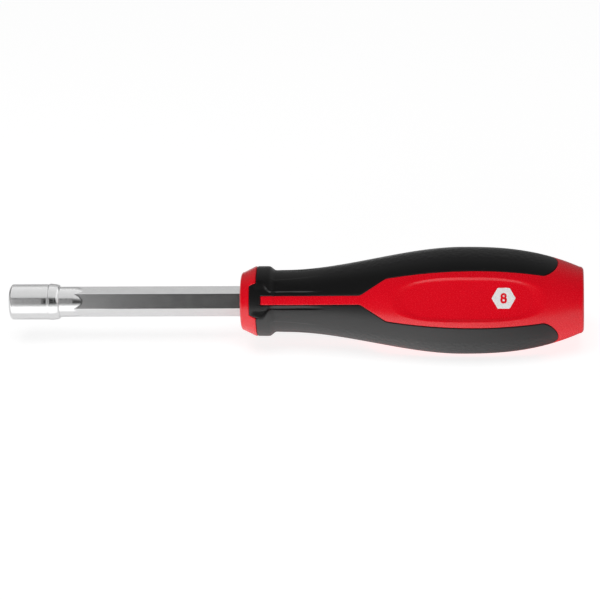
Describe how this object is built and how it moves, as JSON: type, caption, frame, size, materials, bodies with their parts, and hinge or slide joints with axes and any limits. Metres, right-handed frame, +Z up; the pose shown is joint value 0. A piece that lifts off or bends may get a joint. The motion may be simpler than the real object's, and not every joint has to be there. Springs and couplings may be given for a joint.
{
  "type": "nut driver",
  "caption": "Hollow-shaft nut driver with a magnetic hexagon socket on a long hexagonal shank, moulded into a lobed hard handle with a soft grip.",
  "frame": {"origin": "middle of the socket's mouth, on the axis of the shaft", "axes": "+X along the shaft from the socket's mouth to the butt of the handle, +Z up, square to a flat of the shank and away from the panel of the handle that faces down"},
  "size_m": [0.187, 0.0346, 0.0333],
  "materials": {
    "steel": "satin chrome plating over drawn steel",
    "magnet": "matte sintered",
    "core_plastic": "plain moulded",
    "red_plastic": "satin moulded",
    "soft_grip": "matte soft moulded with a fine grain"
  },
  "bodies": {
    "root": {"shaft": "steel", "ring_magnet": "magnet", "inner_core": "core_plastic", "handle_body": "red_plastic", "grip_overmould": "soft_grip"}
  },
  "joints": []
}
